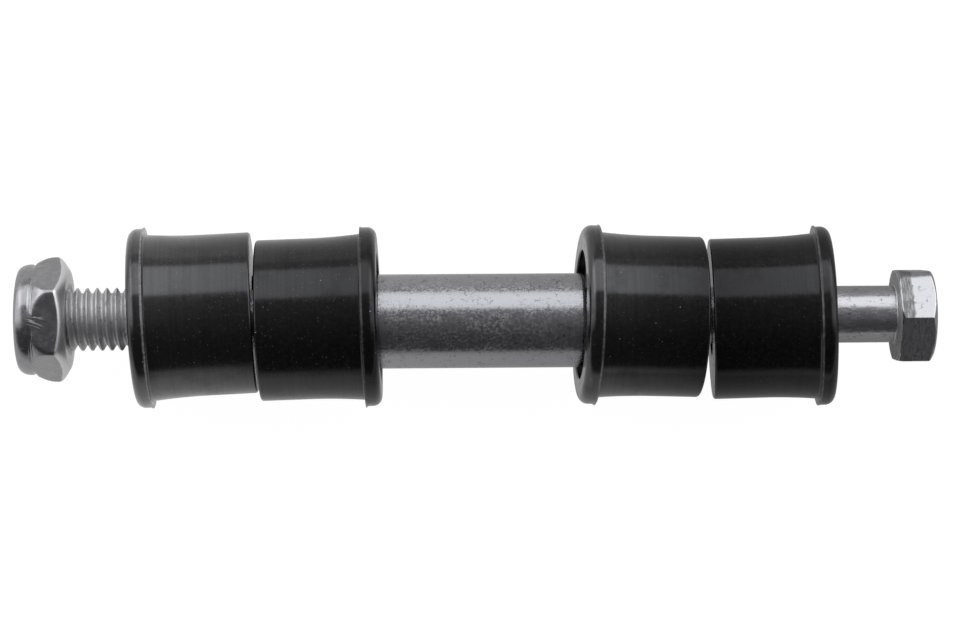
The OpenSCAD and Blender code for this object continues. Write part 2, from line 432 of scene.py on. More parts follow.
def flecks_group() -> bpy.types.NodeTree:
    """Scattered dots: in a share of a bent Voronoi pattern's cells, a dot of uneven size round the point.

    Returns:
        The node group.
    """
    graph, given = new_group("flecks", {"Scale": 1.0, "Size": 0.1, "Share": 0.3, "Bend": 0.0})
    bend = graph.add("TexNoise", {"Vector": given.outputs["Vector"], "Scale": 2.5, "Detail": 2.0})
    centred = graph.add("VectorMath", {0: bend.outputs["Color"], 1: (0.5, 0.5, 0.5)}, operation="SUBTRACT")
    moved = graph.add("VectorMath", {0: centred.outputs[0], "Scale": given.outputs["Bend"]},
                      operation="SCALE")
    place = graph.add("VectorMath", {0: given.outputs["Vector"], 1: moved.outputs[0]}, operation="ADD")
    cells = graph.add("TexVoronoi", {"Vector": place.outputs[0], "Scale": given.outputs["Scale"]})
    draw = graph.add("SeparateColor", {0: cells.outputs["Color"]})
    size = graph.times(given.outputs["Size"], graph.spread(draw.outputs[1], 0.35, 1.0))
    near = graph.math("DIVIDE", cells.outputs["Distance"], size)
    dot = graph.spread(near, 1.0, 0.0, 0.6, 1.0)
    chosen = graph.math("LESS_THAN", draw.outputs[0], given.outputs["Share"])
    graph.add("NodeGroupOutput", {"Mask": graph.times(dot, chosen)})
    return graph.tree


def scratches_group() -> bpy.types.NodeTree:
    """Fine lines: where a noise, stretched along X and bent a little, crosses its middle level.

    Returns:
        The node group.
    """
    graph, given = new_group("scratches", {"Scale": 1.0, "Stretch": 0.1, "Width": 0.02, "Break": 0.55})
    shape = graph.add("CombineXYZ", {0: given.outputs["Stretch"], 1: 1.0, 2: 1.0})
    place = graph.add("VectorMath", {0: given.outputs["Vector"], 1: shape.outputs[0]}, operation="MULTIPLY")
    noise = graph.add("TexNoise", {"Vector": place.outputs[0], "Scale": given.outputs["Scale"],
                                   "Detail": 3.0, "Distortion": 0.6})
    off = graph.math("ABSOLUTE", graph.math("SUBTRACT", noise.outputs[0], 0.5))
    line = graph.add("MapRange", {"Value": off, "From Min": 0.0, "From Max": given.outputs["Width"],
                                  "To Min": 1.0, "To Max": 0.0})
    gate = graph.add("TexNoise", {"Vector": given.outputs["Vector"], "Scale": 0.7, "Detail": 2.0})
    shown = graph.math("GREATER_THAN", gate.outputs[0], given.outputs["Break"])
    graph.add("NodeGroupOutput", {"Mask": graph.times(line.outputs["Result"], shown)})
    return graph.tree


MOTTLE, FLECKS, SCRATCHES = mottle_group(), flecks_group(), scratches_group()


def start_material(name: str) -> tuple[bpy.types.Material, Graph]:
    """Starts an empty node material.

    Args:
        name: Name of the material.

    Returns:
        The material and its graph.
    """
    material = bpy.data.materials.new(name)
    material.use_nodes = True
    return material, Graph(material.node_tree)


def rgba(colour: Colour) -> tuple[float, float, float, float]:
    """A colour with full cover."""
    return (*colour, 1.0)


@dataclass(frozen=True)
class ZincFinish:
    """Zinc-plated steel: hazy flakes in a smooth skin, pits and strokes, and a rough second finish.

    Attributes:
        name: Name of the material.
        bright: Colour of the clean plating.
        flaked: Colour of the hazy flakes.
        second: Colour of the second finish, which the "tone" attribute marks.
        smooth: Roughness of the clean plating.
        haze: Roughness of the flakes.
        rough: Roughness of the second finish.
        relief: Height of the flakes in millimetres.
        flake_scale: Flakes for each millimetre.
        flake_stretch: Stretch of the flakes' pattern along the bolt; below 1 they run along it.
        pit_share: Share of the pattern's cells that hold a pit.
        pit: Colour of the pits.
        stroke_level: Strength of the strokes' tone, 0 to 1.
        stroke_stretch: Stretch of the strokes' pattern along the bolt.
        stroke_colour: Colour of the strokes.
        band: Start and end along the bolt of a trimmed band of the second finish's roughness, or None.
        trimmed: Colour of that band.
        rim: Tint of reflections at a grazing angle.
        nick: Middle of a nick with bright scores, or None.
        score: Colour of the scores.
    """

    name: str
    bright: Colour
    flaked: Colour
    second: Colour
    smooth: float
    haze: float
    rough: float
    relief: float = 0.006
    flake_scale: float = 2.2
    flake_stretch: float = 0.8
    pit_share: float = 0.35
    pit: Colour = (0.06, 0.06, 0.065)
    stroke_level: float = 0.6
    stroke_stretch: float = 0.8
    stroke_colour: Colour = (0.07, 0.07, 0.075)
    band: tuple[float, float] | None = None
    trimmed: Colour = (0.17, 0.17, 0.17)
    rim: Colour = (0.95, 0.95, 0.95)
    nick: tuple[float, float, float] | None = None
    score: Colour = (0.9, 0.9, 0.9)

    def material(self) -> bpy.types.Material:
        """Builds the material on the pieces' "lay" coordinates, which are millimetres.

        Returns:
            The material.
        """
        material, graph = start_material(self.name)
        lay = graph.add("Attribute", attribute_name=LAY).outputs["Vector"]
        second = graph.add("Attribute", attribute_name=TONE).outputs["Fac"]
        patch = graph.group(MOTTLE, lay, Scale=0.3, Stretch=0.7, Low=0.35, High=0.6)
        flake = graph.group(MOTTLE, lay, Scale=self.flake_scale, Stretch=self.flake_stretch,
                            Low=0.44, High=0.6)
        flake = graph.times(flake, graph.spread(patch, 0.35, 1.0))
        if self.band:
            along = graph.add("SeparateXYZ", {0: lay}).outputs[0]
            brushed = graph.group(MOTTLE, lay, Scale=0.7, Stretch=6.0, Low=0.35, High=0.62)
            head = graph.math("GREATER_THAN", along, self.band[0])
            flake = graph.mix(head, flake, graph.times(brushed, 0.75))
        pits = graph.group(FLECKS, lay, Scale=0.9, Size=0.2, Share=self.pit_share, Bend=0.8)
        strokes = graph.group(SCRATCHES, lay, Scale=0.9, Stretch=self.stroke_stretch, Width=0.03, Break=0.56)
        colour = graph.blend(flake, self.bright, self.flaked)
        colour = graph.blend(second, colour, self.second)
        if self.band:
            cut = graph.times(head, self._band_mask(graph, lay, along, brushed))
            colour = graph.blend(cut, colour, self.trimmed)
            second = graph.math("MAXIMUM", second, cut)
        colour = graph.blend(graph.times(pits, 0.6), colour, self.pit)
        colour = graph.blend(graph.times(strokes, self.stroke_level), colour, self.stroke_colour)
        if self.nick:
            scores = self._nick_mask(graph, lay)
            colour = graph.blend(scores, colour, self.score)
            second = graph.math("MAXIMUM", second, scores)
        roughness = graph.mix(second, graph.spread(flake, self.smooth, self.haze), self.rough)
        height = graph.math("SUBTRACT", flake, graph.math("MAXIMUM", pits, strokes))
        bump = graph.add("Bump", {"Height": height, "Strength": 1.0, "Distance": self.relief * MM})
        shader = graph.add("BsdfPrincipled", {"Base Color": colour, "Roughness": roughness, "Metallic": 1.0,
                                              "Specular Tint": rgba(self.rim), "Normal": bump.outputs[0]})
        graph.add("OutputMaterial", {"Surface": shader.outputs[0]})
        return material

    def _nick_mask(self, graph: Graph, lay: Socket) -> Socket:
        """Mask of the scores in the nick: slanting lines that fade out round its middle.

        Args:
            graph: The material's graph.
            lay: The piece's own coordinates.

        Returns:
            1 on a score, 0 elsewhere.
        """
        full, gone = 0.9, 1.9
        reach = graph.add("VectorMath", {0: lay, 1: self.nick}, operation="DISTANCE").outputs["Value"]
        near = graph.spread(reach, 1.0, 0.0, full, gone)
        slant = graph.add("Mapping", {"Vector": lay, "Rotation": (0.0, 0.0, 0.3), "Scale": (1.0, 1.0, 0.0)})
        scores = graph.group(SCRATCHES, slant.outputs[0], Scale=0.9, Stretch=0.14, Width=0.04, Break=0.0)
        return graph.times(scores, near)

    def _band_mask(self, graph: Graph, lay: Socket, along: Socket, brushed: Socket) -> Socket:
        """Mask of the trimmed band, with an uneven end and a brushed inside.

        Args:
            graph: The material's graph.
            lay: The piece's own coordinates.
            along: The place along the bolt.
            brushed: The brush strokes' mask.

        Returns:
            About 0.5 to 1 up to the band's end, 0 beyond it.
        """
        end, sway, blur = self.band[1], 0.4, 0.12
        wave = graph.add("TexNoise", {"Vector": lay, "Scale": 0.8, "Detail": 5.0}).outputs[0]
        ragged = graph.math("ADD", along, graph.spread(wave, -sway, sway, 0.25, 0.75))
        inside = graph.spread(ragged, 1.0, 0.0, end - blur, end + blur)
        return graph.times(inside, graph.spread(brushed, 0.5, 1.0))


@dataclass(frozen=True)
class RubberFinish:
    """Moulded black rubber with a waxy film in turned streaks, scuffs, dust and a paler flash.

    Attributes:
        name: Name of the material.
        film: Weights of the waxy film at the flange face and at the free end, 0 to 1.
        ior: Refractive index of the rubber, which sets its sheen.
        smooth: Roughness of the clean rubber.
        dusty: Strength of the dust, 0 to 1.
        torn: Strength of the flash's paler tone, 0 to 1.
        rough: Roughness of the scuffs.
        base: Colour of the clean rubber.
        scuffed: Colour of scuffed rubber.
        flash: Colour of the torn flash, which the "tone" attribute marks.
        dust: Colour of the dust specks.
        reach: Distance from the bush's middle to where the film has its two weights.
        wax_rough: Roughness of the film.
        wax_ior: Refractive index of the film.
        relief: Height of the streaks and scuffs in millimetres.
    """

    name: str
    film: tuple[float, float]
    ior: float
    smooth: float
    dusty: float
    torn: float
    rough: float = 0.26
    base: Colour = (0.0012, 0.0012, 0.0012)
    scuffed: Colour = (0.0045, 0.0045, 0.0047)
    flash: Colour = (0.3, 0.3, 0.295)
    dust: Colour = (0.36, 0.36, 0.355)
    reach: float = 9.3
    wax_rough: float = 0.14
    wax_ior: float = 2.0
    relief: float = 0.008

    def material(self) -> bpy.types.Material:
        """Builds the material on the bushes' "lay" coordinates.

        These are millimetres with X along the bush's axis.  Each bush's are offset by whole steps, which are
        wrapped away to give the place along its own axis.

        Returns:
            The material.
        """
        material, graph = start_material(self.name)
        lay = graph.add("Attribute", attribute_name=LAY).outputs["Vector"]
        torn = graph.add("Attribute", attribute_name=TONE).outputs["Fac"]
        streaks = graph.group(MOTTLE, lay, Scale=0.06, Stretch=40.0, Low=0.38, High=0.62)
        scuffs = graph.group(MOTTLE, lay, Scale=0.22, Stretch=1.0, Low=0.46, High=0.7)
        fine = graph.group(MOTTLE, lay, Scale=1.6, Stretch=1.0, Low=0.4, High=0.7)
        specks = graph.group(FLECKS, lay, Scale=0.8, Size=0.08, Share=0.36, Bend=0.3)
        grit = graph.group(FLECKS, lay, Scale=2.0, Size=0.24, Share=0.4, Bend=0.2)
        hairs = graph.group(SCRATCHES, lay, Scale=0.4, Stretch=1.0, Width=0.004, Break=0.62)
        edge = graph.times(torn, graph.spread(fine, 0.4 * self.torn, self.torn))
        worn = graph.math("MAXIMUM", scuffs, graph.times(streaks, 0.5))
        loose = graph.times(graph.math("MAXIMUM", hairs, grit), 0.16)
        dust = graph.times(graph.math("MAXIMUM", specks, loose), self.dusty)
        colour = graph.blend(fine, self.base, self.scuffed)
        colour = graph.blend(edge, colour, self.flash)
        colour = graph.blend(dust, colour, self.dust)
        roughness = graph.spread(worn, self.smooth, self.rough)
        roughness = graph.math("ADD", roughness, graph.spread(fine, -0.03, 0.06))
        past, half = graph.add("SeparateXYZ", {0: lay}).outputs[0], LAY_STEP[0] / 2
        along = graph.add("Math", {0: past, 1: half, 2: -half}, operation="WRAP").outputs[0]
        film = graph.times(graph.spread(streaks, 0.84, 1.16), graph.spread(scuffs, 1.15, 0.6))
        film = graph.times(film, graph.spread(along, *self.film, -self.reach, self.reach))
        height = graph.math("ADD", graph.spread(streaks, 0.0, 0.5), graph.spread(fine, 0.0, 0.4))
        height = graph.math("ADD", height, specks)
        bump = graph.add("Bump", {"Height": height, "Strength": 1.0, "Distance": self.relief * MM})
        shader = graph.add("BsdfPrincipled", {"Base Color": colour, "Roughness": roughness, "IOR": self.ior,
                                              "Coat Weight": film, "Coat Roughness": self.wax_rough,
                                              "Coat IOR": self.wax_ior, "Normal": bump.outputs[0]})
        graph.add("OutputMaterial", {"Surface": shader.outputs[0]})
        return material


@dataclass(frozen=True)
class PlainFinish:
    """A small hidden piece's finish, on its object coordinates.

    Attributes:
        name: Name of the material.
        light: Lighter colour.
        dark: Darker colour.
        metallic: 1 for metal, 0 for plastic.
        roughness: Middle roughness.
        relief: Height of the grain in millimetres.
    """

    name: str
    light: Colour
    dark: Colour
    metallic: float
    roughness: float
    relief: float = 0.03

    def material(self) -> bpy.types.Material:
        """Builds the material with its cloudy stains.

        Returns:
            The material.
        """
        material, graph = start_material(self.name)
        place = graph.add("TexCoord").outputs["Object"]
        lay = graph.add("VectorMath", {0: place, 1: (1 / MM,) * 3}, operation="MULTIPLY").outputs[0]
        cloud = graph.group(MOTTLE, lay, Scale=0.9, Low=0.35, High=0.65)
        fine = graph.group(MOTTLE, lay, Scale=6.0, Low=0.3, High=0.7)
        colour = graph.blend(cloud, self.light, self.dark)
        roughness = graph.spread(cloud, self.roughness - 0.08, self.roughness + 0.1)
        bump = graph.add("Bump", {"Height": fine, "Strength": 0.2, "Distance": self.relief * MM})
        shader = graph.add("BsdfPrincipled", {"Base Color": colour, "Roughness": roughness,
                                              "Metallic": self.metallic, "Normal": bump.outputs[0]})
        graph.add("OutputMaterial", {"Surface": shader.outputs[0]})
        return material


# Pieces


@dataclass
class Bolt:
    """The long hexagon bolt with its rolled thread.

    Attributes:
        finish: Its plating.
        end_x: Place of the thread's end along the bolt.
        top_x: Place of the head's top.
        thread_d: Diameter over the thread's crests.
        shank_d: Diameter of the plain shank.
        pitch: Rise of the thread in one turn.
        thread_depth: Depth from crest to root.
        full_len: Length of full thread.
        thread_len: Length up to the plain shank.
        end_chamfer: Chamfer on the thread's end.
        end_dish: Depth of the hollow in the thread's end.
        crest_soft: Share of a flank over which crest and root are rounded.
        seam: Depth and width of the seam along the rolled crest.
        crest_phase: Share of a turn by which the thread is turned.
        head: The head's hexagon.
        head_h: Height of the head.
        head_bevel: Height of the bevel on the head's top.
        under_bevel: Height of the bevel on its bearing side.
        pad_h: Height of the round bearing pad.
        fillet: Radius under the head.
        run_in: Length of shank that belongs to the head's rows.
        head_shift: Shift of the forged head off the shank's axis, along +Y.
        worn: Depth to which one corner is worn flat, at the bearing side and at the top.
    """

    finish: ZincFinish
    end_x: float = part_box("bolt")[0][0] / MM
    top_x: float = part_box("bolt")[1][0] / MM
    thread_d: float = 9.8
    shank_d: float = 8.85
    pitch: float = 1.5
    thread_depth: float = 0.86
    full_len: float = 25.0
    thread_len: float = 27.5
    end_chamfer: float = 1.1
    end_dish: float = 0.25
    crest_soft: float = 0.07
    seam: tuple[float, float] = (0.05, 0.07)
    crest_phase: float = -0.155
    head: Hexagon = Hexagon(13.85, 0.22, 33.0)
    head_h: float = 5.65
    head_bevel: float = 0.8
    under_bevel: float = 0.5
    pad_h: float = 0.1
    fillet: float = 0.4
    run_in: float = 1.6
    head_shift: float = -0.23
    worn: tuple[float, float] = (0.5, 0.3)

    @property
    def head_x(self) -> float:
        """Place of the head's bearing face."""
        return self.top_x - self.head_h

    def thread_rows(self, angle: Array) -> Array:
        """The threaded end.

        With d the distance from the nearest crest, the flank's share t = (c + f - d) / f runs from 1 at the
        crest flat's edge to 0 at the root's; (|t| - |t - 1| + 1) / 2 holds it there, with |t| softened to
        sqrt(t^2 + e^2).  A seam of depth s exp(-(d / w)^2) runs along the rolled crest.  The crest line is
        x = pitch * angle / turn, a right-hand screw.

        Args:
            angle: Angles of the columns.

        Returns:
            The rows as (rows, columns, 2).
        """
        x = self.end_x + np.linspace(0.0, self.thread_len, 424)[:, None]
        phase = ((x - self.end_x) / self.pitch - angle / TAU + self.crest_phase) % 1.0
        d = np.abs(phase - 0.5) * self.pitch
        crest, run = self.pitch / 16, self.thread_depth * np.tan(np.pi / 6)
        t = (crest + run - d) / run
        share = (np.hypot(t, self.crest_soft) - np.hypot(t - 1, self.crest_soft) + 1) / 2
        seam = self.seam[0] * np.exp(-(d / self.seam[1]) ** 2)
        full = self.thread_d / 2 - self.thread_depth * (1 - np.clip(share, 0.0, 1.0)) - seam
        fade = np.clip((self.end_x + self.thread_len - x) / (self.thread_len - self.full_len), 0.0, 1.0)
        faded = self.shank_d / 2 + (full - self.shank_d / 2) * fade
        chamfer = self.thread_d / 2 - self.end_chamfer + (x - self.end_x)
        return pair(x, np.minimum(faded, chamfer))

    def head_rows(self, angle: Array) -> Array:
        """The shank's end, the fillet and the head.

        A column's flat lies at the hexagon's radius r.  The bevels are cones of 60 degrees through the sharp
        corner at R, so a flat meets the top one (R - r) / tan 60 above its start.  The worn corner is a
        plane: it cuts the radius to (R - depth) / cos of the angle from that corner.

        Args:
            angle: Angles of the columns.

        Returns:
            The rows as (rows, columns, 2), up to the rim of the head's top.
        """
        corner, apart = self.head.corner_r, 0.02
        away = np.maximum(np.cos(angle - np.radians(self.head.corner_at)), 0.1)
        low, flat = (np.minimum(self.head.radius(angle), (corner - depth) / away) for depth in self.worn)
        shank, pad = self.shank_d / 2, self.head.across_flats / 2 - self.pad_h
        bottom = np.maximum(self.under_bevel - (corner - low) / STEEP, self.pad_h)
        under = np.minimum(low, corner - (self.under_bevel - self.pad_h) * STEEP)
        top = corner - self.head_bevel * STEEP
        level = [(-self.run_in, shank), (0.0, shank), (0.0, pad), (self.pad_h, pad),
                 (self.pad_h, under - apart), (bottom + apart, low),
                 (self.head_h - self.head_bevel + (corner - flat) / STEEP, flat), (self.head_h, top),
                 (self.head_h, top * 0.3)]
        corners = np.stack([pair(x + self.head_x, r + 0 * angle) for x, r in level])
        return soften(corners, (0, self.fillet, 0.2, 0.12, 0.12, 0.25, 0.25, 0.15, 0), 6)

    def build(self) -> bpy.types.Object:
        """Makes the bolt as one closed mesh from the thread's end to the head's top.

        Returns:
            The piece.
        """
        angle, apart, slack = self.head.columns(), 0.3, 0.05
        end_r, thread_x = self.thread_d / 2 - self.end_chamfer, self.end_x + self.thread_len
        ring = np.linspace(0.15, 0.98, 6)[:, None] * np.ones_like(angle)
        face = pair(self.end_x + self.end_dish * (1 - ring ** 2), ring * end_r)
        along = np.linspace(thread_x + apart, self.head_x - self.run_in - apart, 70)[:, None]
        plain = pair(along, self.shank_d / 2 + 0 * angle)
        outline = np.concatenate([face, self.thread_rows(angle), plain, self.head_rows(angle)])
        x = outline[..., 0]
        bearing = np.abs(x - self.head_x) < self.pad_h + slack
        tone = np.where((x < thread_x) | bearing, 1.0, 0.0)
        shift = self.head_shift * np.clip((x - self.head_x) / self.fillet + 1.0, 0.0, 1.0)
        shape = Turned(outline, angle, False, shift)
        piece = make_piece("forged_bolt", shape, (0.0, 0.0, 0.0), sharp=50.0, tone=tone)
        piece.data.materials.append(self.finish.material())
        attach(piece, "bolt")
        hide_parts("bolt")
        return piece


@dataclass
class LockingNut:
    """The hexagon locking nut with its round collar.

    Attributes:
        finish: Its plating.
        face_x: Place of the bearing face along the bolt.
        end_x: Place of the collar's end.
        hexagon: The nut's hexagon.
        rim_r: Radius over the rolled-off corners.
        bevel: Height of the bevel on the bearing side.
        corner_h: Height of the plain corners.
        shoulder_h: Height of the rounded shoulder.
        shoulder_lean: Fall of the shoulder's radius for each millimetre of height where it starts.
        shoulder_bow: Growth of that fall, for each square millimetre.
        edge: Width over which the shoulder's edge is rounded.
        bevel_edge: Width over which the bevel's edge is rounded.
        collar_r: Radius of the collar.
        collar_round: Height and depth of the collar's rolled edge, an ellipse.
        neck_w: Width of the groove under the collar.
        neck_depth: Depth of the groove.
        neck_rise: Rise of the shoulder over the collar at which the groove has its full depth.
        hole_r: Radius of the thread hole.
        countersink: Depth of the countersink at its mouth.
        mouth_r: Radius of the mouth in the rolled lip.
        lip: Width of the flats next to the mouth and the countersink.
        pocket: Bottom, top and radius of the room for the locking ring.
    """

    finish: ZincFinish
    face_x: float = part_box("locking_nut")[1][0] / MM
    end_x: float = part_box("locking_nut")[0][0] / MM
    hexagon: Hexagon = Hexagon(17.0, 0.8, 3.2)
    rim_r: float = 9.735
    bevel: float = 1.2
    corner_h: float = 0.8
    shoulder_h: float = 2.9
    shoulder_lean: float = 0.1
    shoulder_bow: float = 0.085
    edge: float = 0.25
    bevel_edge: float = 1.1
    collar_r: float = 8.55
    collar_round: tuple[float, float] = (1.9, 1.2)
    neck_w: float = 0.75
    neck_depth: float = 0.14
    neck_rise: float = 0.15
    hole_r: float = 4.95
    countersink: float = 0.75
    mouth_r: float = 5.975
    lip: float = 0.2
    pocket: tuple[float, float, float] = (4.65, 6.95, 7.05)

    @property
    def height(self) -> float:
        """Height with the collar."""
        return self.face_x - self.end_x

    def cone(self, level: Array) -> Array:
        """Radius of the bearing side's cone of 60 degrees at a height above the bearing face."""
        return self.rim_r - (self.bevel - level) * STEEP

    def skin(self, angle: Array) -> Array:
        """The hexagon from the collar's foot to the bearing face.

        A turned envelope cuts the hexagon: a cone at the bearing side, and at the other a shoulder that falls
        by lean s + bow s^2 at the height s above the corners.  Each edge is rounded.

        Args:
            angle: Angles of the columns.

        Returns:
            The rows as (rows, columns, 2).
        """
        start = self.bevel + self.corner_h
        level = np.linspace(start + self.shoulder_h, 0.0, 72)[:, None]
        above = np.maximum(level - start, 0.0)
        dome = self.rim_r - self.shoulder_lean * above - self.shoulder_bow * above ** 2
        sides = soft_min(dome, self.hexagon.radius(angle), self.edge)
        return pair(level, soft_min(sides, self.cone(level), self.bevel_edge))

    def outline(self, angle: Array) -> Array:
        """The closed half outline, from the mouth over collar and flats to the bearing face and back inside.

        The groove under the collar is d sin^2(pi t) deep across its width.  d grows with the rise of the
        shoulder over the collar, so that the groove runs out where a flat reaches the collar.

        Args:
            angle: Angles of the columns.

        Returns:
            The rows as (rows, columns, 2).
        """
        skin = self.skin(angle)
        base = self.bevel + self.corner_h + self.shoulder_h
        across = np.linspace(0.0, 1.0, 14)[:, None]
        depth = self.neck_depth * np.clip((skin[0, :, 1] - self.collar_r) / self.neck_rise, 0.0, 1.0)
        groove = pair(base + self.neck_w * (1 - across), self.collar_r - depth * np.sin(np.pi * across) ** 2)
        high, deep = self.collar_round
        rim = arc((0.0, 0.0), 1.0, 0, 90, 16) * (high, deep) + (self.height - high, self.collar_r - deep)
        floor, roof, room_r = self.pocket
        sunk = self.hole_r + self.countersink
        outside = np.concatenate([[[self.height, self.mouth_r], [self.height, self.mouth_r + self.lip]], rim])
        inside = np.array([[0.0, sunk + self.lip], [0.0, sunk], [self.countersink, self.hole_r],
                           [floor, self.hole_r], [floor, room_r], [roof, room_r], [roof, self.mouth_r]])
        return np.concatenate([all_round(outside, angle), groove, skin[1:], all_round(inside, angle)])

    def build(self) -> bpy.types.Object:
        """Makes the nut as one closed mesh.

        Returns:
            The piece.
        """
        angle = self.hexagon.columns()
        outline = self.outline(angle)
        level, radius = outline[..., 0], outline[..., 1]
        band = self.bevel_edge * 0.55
        rounded = radius > self.cone(level) - band
        turned = np.where(rounded & (radius > self.mouth_r), 1.0, 0.0)
        outline[..., 0] = self.face_x - level
        shape = Turned(outline, angle, True)
        piece = make_piece("collared_nut", shape, (0.0, 40.0, 0.0), sharp=50.0, tone=turned)
        piece.data.materials.append(self.finish.material())
        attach(piece, "locking_nut")
        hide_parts("locking_nut")
        return piece


@dataclass
class Sleeve:
    """The spacer sleeve between the inner bushes.

    Attributes:
        finish: Its plating.
        length: Length of the tube.
        outer_r: Outside radius.
        bore_r: Inside radius.
        bevel: Bevel on its outer edges.
    """

    finish: ZincFinish
    length: float = 32.3
    outer_r: float = 7.3
    bore_r: float = 5.25
    bevel: float = 0.35

    def build(self) -> bpy.types.Object:
        """Makes the tube as one closed mesh, with its bevels softened.

        Returns:
            The piece.
        """
        half, first, last = self.length / 2, self.bore_r + 0.9, self.bore_r + 0.7
        corners = [(-half, first), (-half, self.outer_r - self.bevel),
                   (-half + self.bevel, self.outer_r), (half - self.bevel, self.outer_r),
                   (half, self.outer_r - self.bevel), (half, self.bore_r), (-half, self.bore_r),
                   (-half, last)]
        rounded = soften(np.array(corners)[:, None], (0, 0.12, 0.12, 0.12, 0.12, 0.15, 0.15, 0))
        angle = np.linspace(0.0, TAU, 128, endpoint=False)
        outline = np.repeat(rounded, len(angle), 1)
        middle = Matrix.Translation(np.mean(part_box("spacer_sleeve"), 0) / MM)
        shape = Turned(outline, angle, True)
        piece = make_piece("spacer_tube", shape, (0.0, 90.0, 0.0), sharp=50.0, place=middle)
        piece.data.materials.append(self.finish.material())
        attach(piece, "spacer_sleeve")
        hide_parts("spacer_sleeve")
        return piece


@dataclass
class Bush:
    """One flanged rubber half bush, lying on the bolt at its own lean.

    Attributes:
        place: Its place on the bolt.
        finish: Its rubber.
        length: Length from flange face to free end.
        flange_r: Radius of the flange.
        flange_t: Thickness of the flange.
        flange_round: Radius of the flange's outer edge.
        flash_h: Height of the moulding flash.
        flash_t: Thickness of the flash.
        body_r: Radius of the body.
        flare: Growth of the body's radius towards the flange.
        flare_len: Length over which it flares.
        free_round: Radius on the free end's edge.
        bore_r: Radius of the bore.
        recess_r: Radius of the flange recess.
        recess_depth: Depth of the recess.
    """

    place: Place
    finish: RubberFinish
    length: float = 18.65
    flange_r: float = 13.85
    flange_t: float = 2.5
    flange_round: float = 1.4
    flash_h: float = 0.25
    flash_t: float = 0.3
    body_r: float = 12.45
    flare: float = 0.4
    flare_len: float = 8.5
    free_round: float = 0.4
    bore_r: float = 5.65
    recess_r: float = 10.0
    recess_depth: float = 3.45

    def lie(self) -> Matrix:
        """Where the bush lies, from its joint in the frame.

        Returns:
            The turn onto its axis and the place of its middle, in millimetres.
        """
        joint = next(j for j in frame["joints"] if j["child"] == self.place.bush)
        along = np.array(joint["axis"]) * (-1.0 if self.place.flange_to_head else 1.0)
        along = along / np.linalg.norm(along)
        across = np.cross((0.0, 0.0, 1.0), along)
        across = across / np.linalg.norm(across)
        matrix = Matrix(np.stack([along, across, np.cross(along, across)], 1).tolist()).to_4x4()
        matrix.translation = np.array(joint["pos_m"]) / MM
        return matrix

    def outline(self, angle: Array) -> Array:
        """The closed half outline, from the flange face round the outside to the free end and back inside.

        The flare is an arc of radius (l^2 + w^2) / (2 w), l long and w wide.  The flash stands out by an
        uneven height round the flange.

        Args:
            angle: Angles of the columns.

        Returns:
            The rows as (rows, columns, 2), with the flange face at 0.
        """
        waves, seed, fit = 40, 11, 0.22
        mean, swing, least = 0.65, 0.5, 0.15
        uneven = mean + swing * ripple(angle, waves, seed + self.place.value)
        ragged = self.flash_h * np.clip(uneven, least, 1.0)
        arc_r = (self.flare_len ** 2 + self.flare ** 2) / (2 * self.flare)
        along = np.linspace(0.0, self.flare_len, 14)
        hollow = self.body_r + arc_r - np.sqrt(arc_r ** 2 - (self.flare_len - along) ** 2)
        root, rim, thick = self.flange_t, self.flange_r, self.flash_t
        edge = arc((self.flange_round, rim - self.flange_round), self.flange_round, 180, 90, 12)
        flash = [(root - thick - 0.1, rim), (root - thick * 0.7, rim + ragged * 0.25),
                 (root - thick * 0.3, rim + ragged), (root, rim + ragged * 0.8), (root + 0.02, rim - 0.1),
                 (root, self.body_r + self.flare + 0.25)]
        body = pair(root + fit + along * (1 - fit / self.flare_len), hollow)
        straight = np.array([[self.length - self.free_round - 2.0, self.body_r]])
        end = arc((self.length - self.free_round, self.body_r - self.free_round), self.free_round, 90, 0, 8)
        back = np.array([[self.length, self.body_r - self.free_round - 0.2], [self.length, self.bore_r],
                         [self.recess_depth, self.bore_r], [self.recess_depth, self.recess_r],
                         [0.0, self.recess_r], [0.0, rim - self.flange_round - 0.2]])
        inner = soften(back[:, None], (0, 0.4, 0.1, 0.15, 0.25, 0))[:, 0]
        rest = np.concatenate([body, straight, end, inner])
        return np.concatenate([all_round(edge, angle), np.stack([pair(x, r + 0 * angle) for x, r in flash]),
                               all_round(rest, angle)])

    def build(self) -> bpy.types.Object:
        """Makes the bush as one closed mesh.

        Returns:
            The piece.
        """
        angle = np.linspace(0.0, TAU, 192, endpoint=False)
        outline = self.outline(angle)
        outline[..., 0] -= self.length / 2
        torn = np.where(outline[..., 1] > self.flange_r + 0.02, 1.0, 0.0)
        lay = [step * self.place.value for step in LAY_STEP]
        name, shape = f"{self.place.name.lower()}_rubber", Turned(outline, angle, True)
        piece = make_piece(name, shape, lay, sharp=40.0, place=self.lie(), tone=torn)
        piece.data.materials.append(self.finish.material())
        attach(piece, self.place.bush)
        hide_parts(self.place.bush)
        return piece


# Studio


